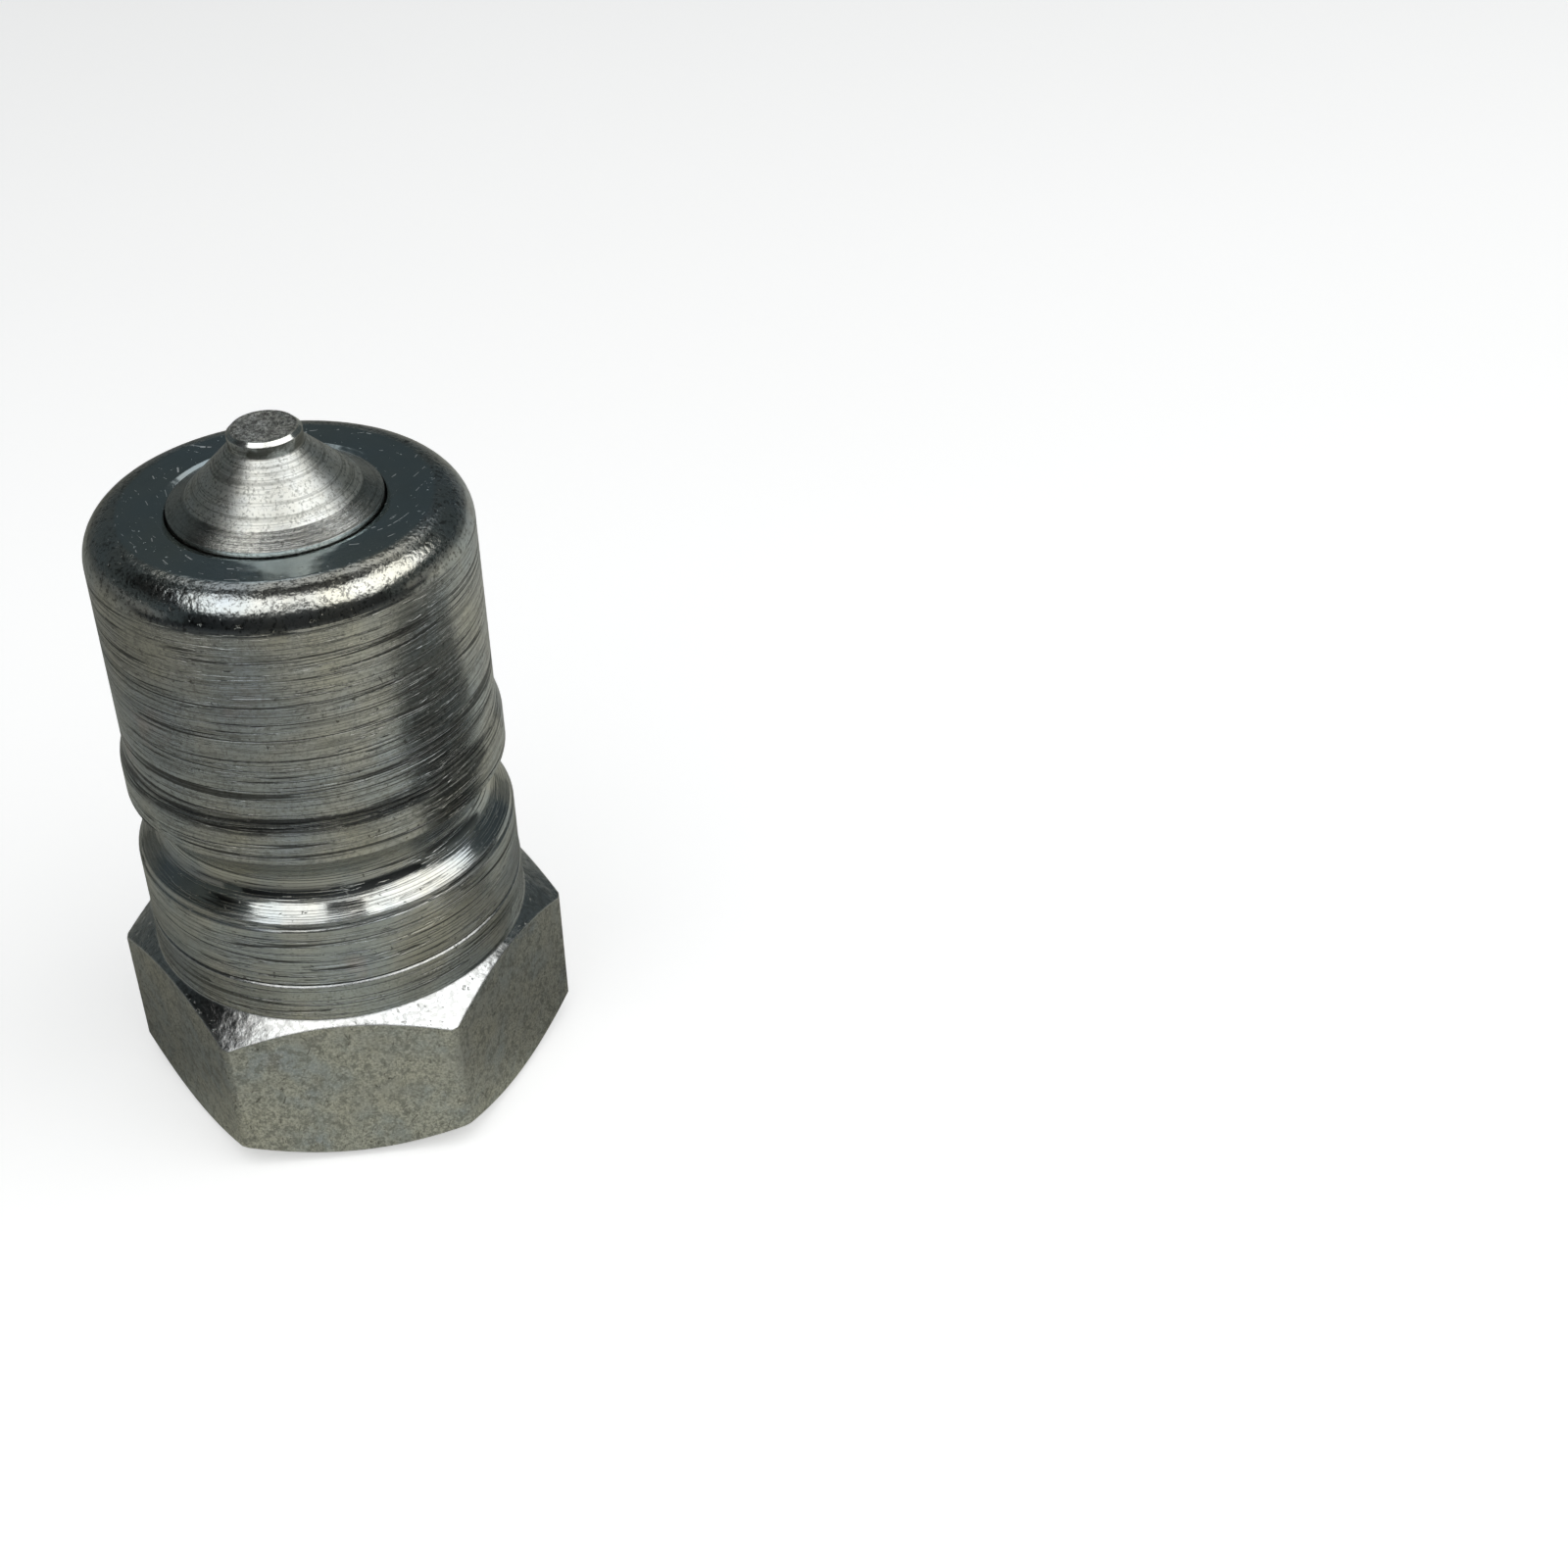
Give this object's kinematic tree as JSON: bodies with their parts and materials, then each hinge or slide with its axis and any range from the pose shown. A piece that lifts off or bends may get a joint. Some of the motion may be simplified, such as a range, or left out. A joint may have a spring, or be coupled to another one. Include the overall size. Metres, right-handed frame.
{
  "type": "hydraulic quick disconnect coupling plug",
  "caption": "Male half of a hydraulic quick disconnect coupling: hex body with a threaded port, grooved round nose and a sprung poppet valve in its mouth.",
  "frame": {"origin": "centre of the rear face, where the port opens, with the part standing on that face", "axes": "+Z along the axis towards the nose; two corners of the hexagon lie on X, two of its flats face +Y and -Y"},
  "size_m": [0.029, 0.0254, 0.0476],
  "materials": {
    "zinc_plate": "turned and zinc plated, faint yellow and blue tints",
    "zinc_plate_hex": "zinc plated, matte on the flats, bright on the chamfers",
    "bright_steel": "bright turned steel",
    "spring_wire": "drawn spring wire",
    "guide_steel": "zinc plated",
    "seal_rubber": "moulded nitrile rubber",
    "backup_plastic": "smooth white plastic"
  },
  "bodies": {
    "body": {"plug_body": "zinc_plate", "hex_adaptor": "zinc_plate_hex", "body_o_ring": "seal_rubber", "backup_ring": "backup_plastic", "valve_spring": "spring_wire", "valve_guide": "guide_steel"},
    "valve": {"poppet": "bright_steel", "poppet_seal": "seal_rubber"}
  },
  "joints": [
    {"name": "poppet_slide", "type": "slide", "parent": "body", "child": "valve", "axis": [0, 0, -1], "range_m": [0, 0.0045], "stiffness_N_per_m": 2500, "springref_m": -0.003, "deforming": ["valve_spring"]}
  ]
}
